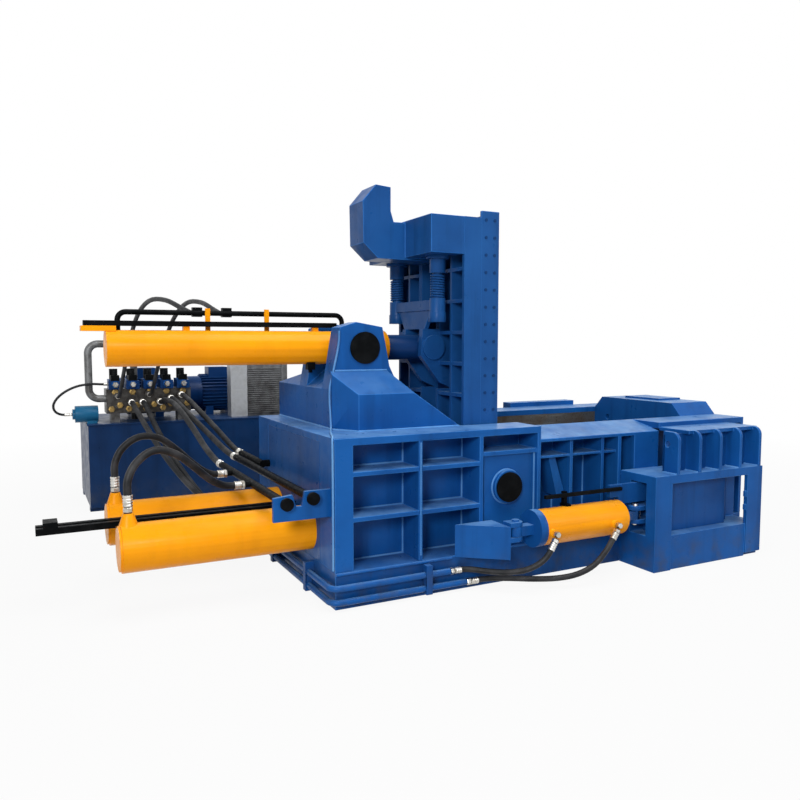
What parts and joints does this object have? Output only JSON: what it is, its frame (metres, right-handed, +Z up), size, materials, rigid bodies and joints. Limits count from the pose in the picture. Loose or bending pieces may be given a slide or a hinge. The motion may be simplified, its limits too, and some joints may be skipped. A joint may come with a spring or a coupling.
{
  "type": "scrap metal baling press",
  "caption": "Hydraulic scrap metal baling press with a hinged lid, a main ram, a side ram, a sliding discharge gate and a power unit standing behind it.",
  "frame": {"origin": "on the floor, straight under the lid's hinge axis, on the press's middle plane", "axes": "+X along the press from the main cylinders to the end wall, +Y away from the discharge side, +Z up"},
  "size_m": [5.1, 4.8439, 2.674],
  "materials": {
    "blue_paint": "satin enamel over welded plate",
    "dark_blue_paint": "satin enamel, duller in the recesses",
    "teal_paint": "gloss enamel",
    "yellow_paint": "gloss enamel",
    "black_paint": "satin black",
    "wear_steel": "scuffed plate with rust and dirt",
    "chromed_rod": "ground hard chrome",
    "bright_steel": "zinc plated",
    "grey_metal": "dull grey",
    "hose_rubber": "matt wrapped hose cover"
  },
  "bodies": {
    "press": {"front_wall": "blue_paint", "rear_wall": "blue_paint", "deck_plate": "blue_paint", "end_wall": "blue_paint", "discharge_portal": "blue_paint", "portal_gills": "blue_paint", "front_tower": "blue_paint", "rear_tower": "blue_paint", "side_ram_housing": "blue_paint", "side_stand": "blue_paint", "gate_bracket": "blue_paint", "pipe_bracket": "blue_paint", "base_pipes": "blue_paint", "pipe_clamps": "blue_paint", "base_frame": "dark_blue_paint", "left_end_plate": "dark_blue_paint", "ram_channel_cover": "dark_blue_paint", "oil_tank": "dark_blue_paint", "solenoid_valves": "dark_blue_paint", "return_filter": "teal_paint", "main_cylinders": "yellow_paint", "side_cylinder": "yellow_paint", "gate_cylinder": "yellow_paint", "hinge_caps": "black_paint", "trunnion_caps": "black_paint", "gate_switch": "black_paint", "steel_pipes": "black_paint", "chamber_floor": "wear_steel", "front_liner": "wear_steel", "rear_liner": "wear_steel", "hinge_shaft": "bright_steel", "hose_fittings": "bright_steel", "valve_manifold": "grey_metal", "oil_cooler": "grey_metal", "main_hoses": "hose_rubber", "gate_hoses": "hose_rubber", "power_hoses": "hose_rubber", "lid_hoses": "hose_rubber"},
    "lid": {"lid_frame": "blue_paint", "lid_face_plate": "wear_steel", "lid_side_strips": "blue_paint", "lid_bolts": "bright_steel", "lid_beak": "blue_paint", "lid_columns": "blue_paint", "lid_springs": "blue_paint", "lid_hanger": "blue_paint"},
    "lid_cylinder": {"lid_cylinder": "yellow_paint", "lid_sensor_rail": "black_paint", "lid_pipe": "black_paint"},
    "lid_rod": {"lid_rod": "chromed_rod", "rod_eye": "dark_blue_paint"},
    "main_ram": {"main_ram_head": "wear_steel", "main_rods": "chromed_rod", "travel_bars": "black_paint"},
    "side_ram": {"side_ram_head": "wear_steel", "side_rod": "chromed_rod"},
    "gate": {"gate_plate": "blue_paint", "gate_rod": "chromed_rod", "gate_pin": "bright_steel", "gate_bar": "black_paint"}
  },
  "joints": [
    {"name": "lid_hinge", "type": "hinge", "parent": "press", "child": "lid", "pos_m": [0, 0, 0.635], "axis": [0, 1, 0], "range_deg": [0, 90]},
    {"name": "lid_cylinder_swing", "type": "hinge", "parent": "press", "child": "lid_cylinder", "pos_m": [-0.836, 0, 1.56], "axis": [0, 1, 0], "range_deg": [0, 21.38]},
    {"name": "lid_rod_slide", "type": "slide", "parent": "lid_cylinder", "child": "lid_rod", "axis": [1, 0, 0], "range_m": [0, 1.2915]},
    {"name": "main_ram_slide", "type": "slide", "parent": "press", "child": "main_ram", "axis": [1, 0, 0], "range_m": [0, 1.015]},
    {"name": "side_ram_slide", "type": "slide", "parent": "press", "child": "side_ram", "axis": [0, -1, 0], "range_m": [0, 1]},
    {"name": "gate_slide", "type": "slide", "parent": "press", "child": "gate", "axis": [1, 0, 0], "range_m": [0, 0.59]}
  ],
  "couplings": [
    {"joint": "lid_cylinder_swing", "follows": "lid_hinge", "ratio": 0.23742},
    {"joint": "lid_rod_slide", "follows": "lid_hinge", "m_per_rad": 0.82187}
  ]
}
